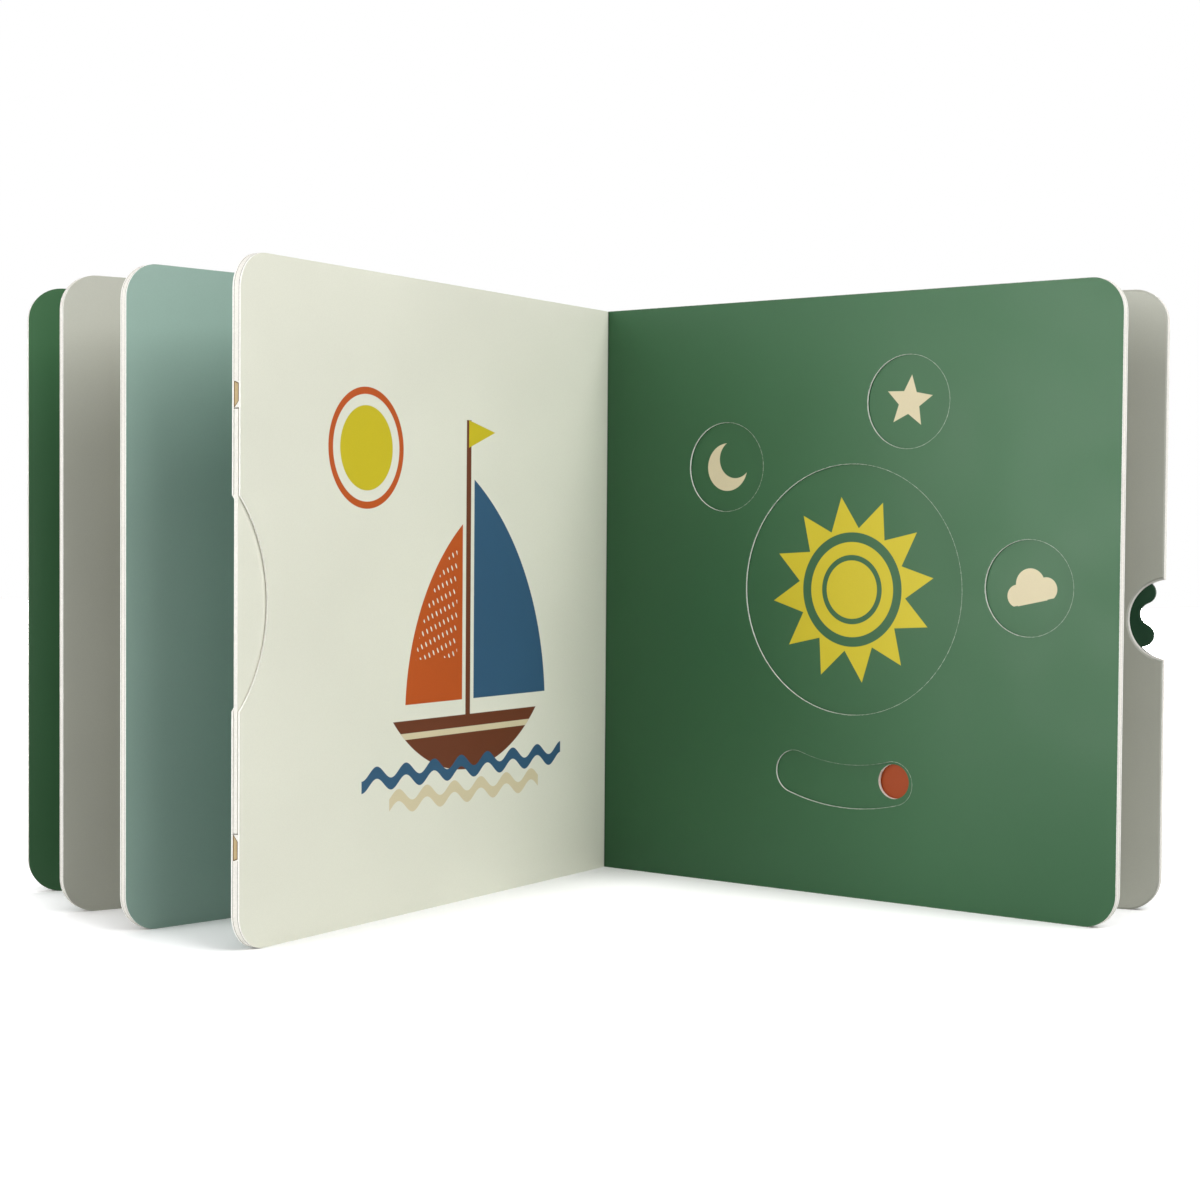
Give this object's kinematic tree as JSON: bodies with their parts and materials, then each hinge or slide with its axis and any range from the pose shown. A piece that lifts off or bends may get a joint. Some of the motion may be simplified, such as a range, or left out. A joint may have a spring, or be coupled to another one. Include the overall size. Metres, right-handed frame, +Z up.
{
  "type": "board book",
  "caption": "Square board book fanned open on its lower edges, with a turning picture disc seen through round windows, a scalloped finger wheel and a pull-out panel.",
  "frame": {"origin": "floor level, under the middle of the space the fanned book takes up", "axes": "+Z up along the spine, +X to the right of the open spread, -Y towards the reader"},
  "size_m": [0.3718, 0.1778, 0.2],
  "materials": {
    "board_white": "matt cut board",
    "board_kraft": "matt kraft board",
    "print_dark_green": "matt laminated print",
    "print_cream": "matt laminated print",
    "print_green": "matt laminated print",
    "print_grey": "matt laminated print",
    "print_grey_sage": "matt laminated print",
    "print_cream_green": "matt laminated print",
    "print_deep_green": "matt laminated print"
  },
  "bodies": {
    "pages": {"leaf_b_board": "board_white", "leaf_b_front_sheet": "print_dark_green", "leaf_c_board": "board_white", "leaf_d_board": "board_white", "guide_low": "board_kraft", "guide_high": "board_kraft", "leaf_e_board": "board_white", "leaf_e_back_sheet": "print_grey", "spread_bc": "print_grey_sage", "spread_cd": "print_cream", "spread_de": "print_cream_green", "spine_strip": "print_dark_green"},
    "front_cover": {"front_board": "board_white", "front_lining": "print_dark_green", "front_paper": "print_dark_green"},
    "back_cover": {"back_board": "board_white", "back_lining": "print_grey", "back_paper": "print_dark_green"},
    "dial": {"dial_wheel": "print_green"},
    "rim": {"rim_wheel": "print_deep_green"},
    "panel": {"pull_panel": "print_cream"}
  },
  "joints": [
    {"name": "front_cover_fold", "type": "hinge", "parent": "pages", "child": "front_cover", "pos_m": [-0.00039, 0.0858, 0], "axis": [0, 0, -1], "range_deg": [-11.9, 100]},
    {"name": "back_cover_fold", "type": "hinge", "parent": "pages", "child": "back_cover", "pos_m": [0.00805, 0.08183, 0], "axis": [0, 0, 1], "range_deg": [-10.6, 100]},
    {"name": "dial_turn", "type": "hinge", "parent": "pages", "child": "dial", "pos_m": [0.08776, 0.0177, 0.1024], "axis": [0.615, 0.7885, 0], "range_deg": [0, 34]},
    {"name": "rim_turn", "type": "hinge", "parent": "back_cover", "child": "rim", "pos_m": [0.10899, 0.03214, 0.098], "axis": [0.454, 0.891, 0], "continuous": true},
    {"name": "panel_pull", "type": "slide", "parent": "pages", "child": "panel", "axis": [-0.527, -0.8499, 0], "range_m": [0, 0.055]}
  ]
}
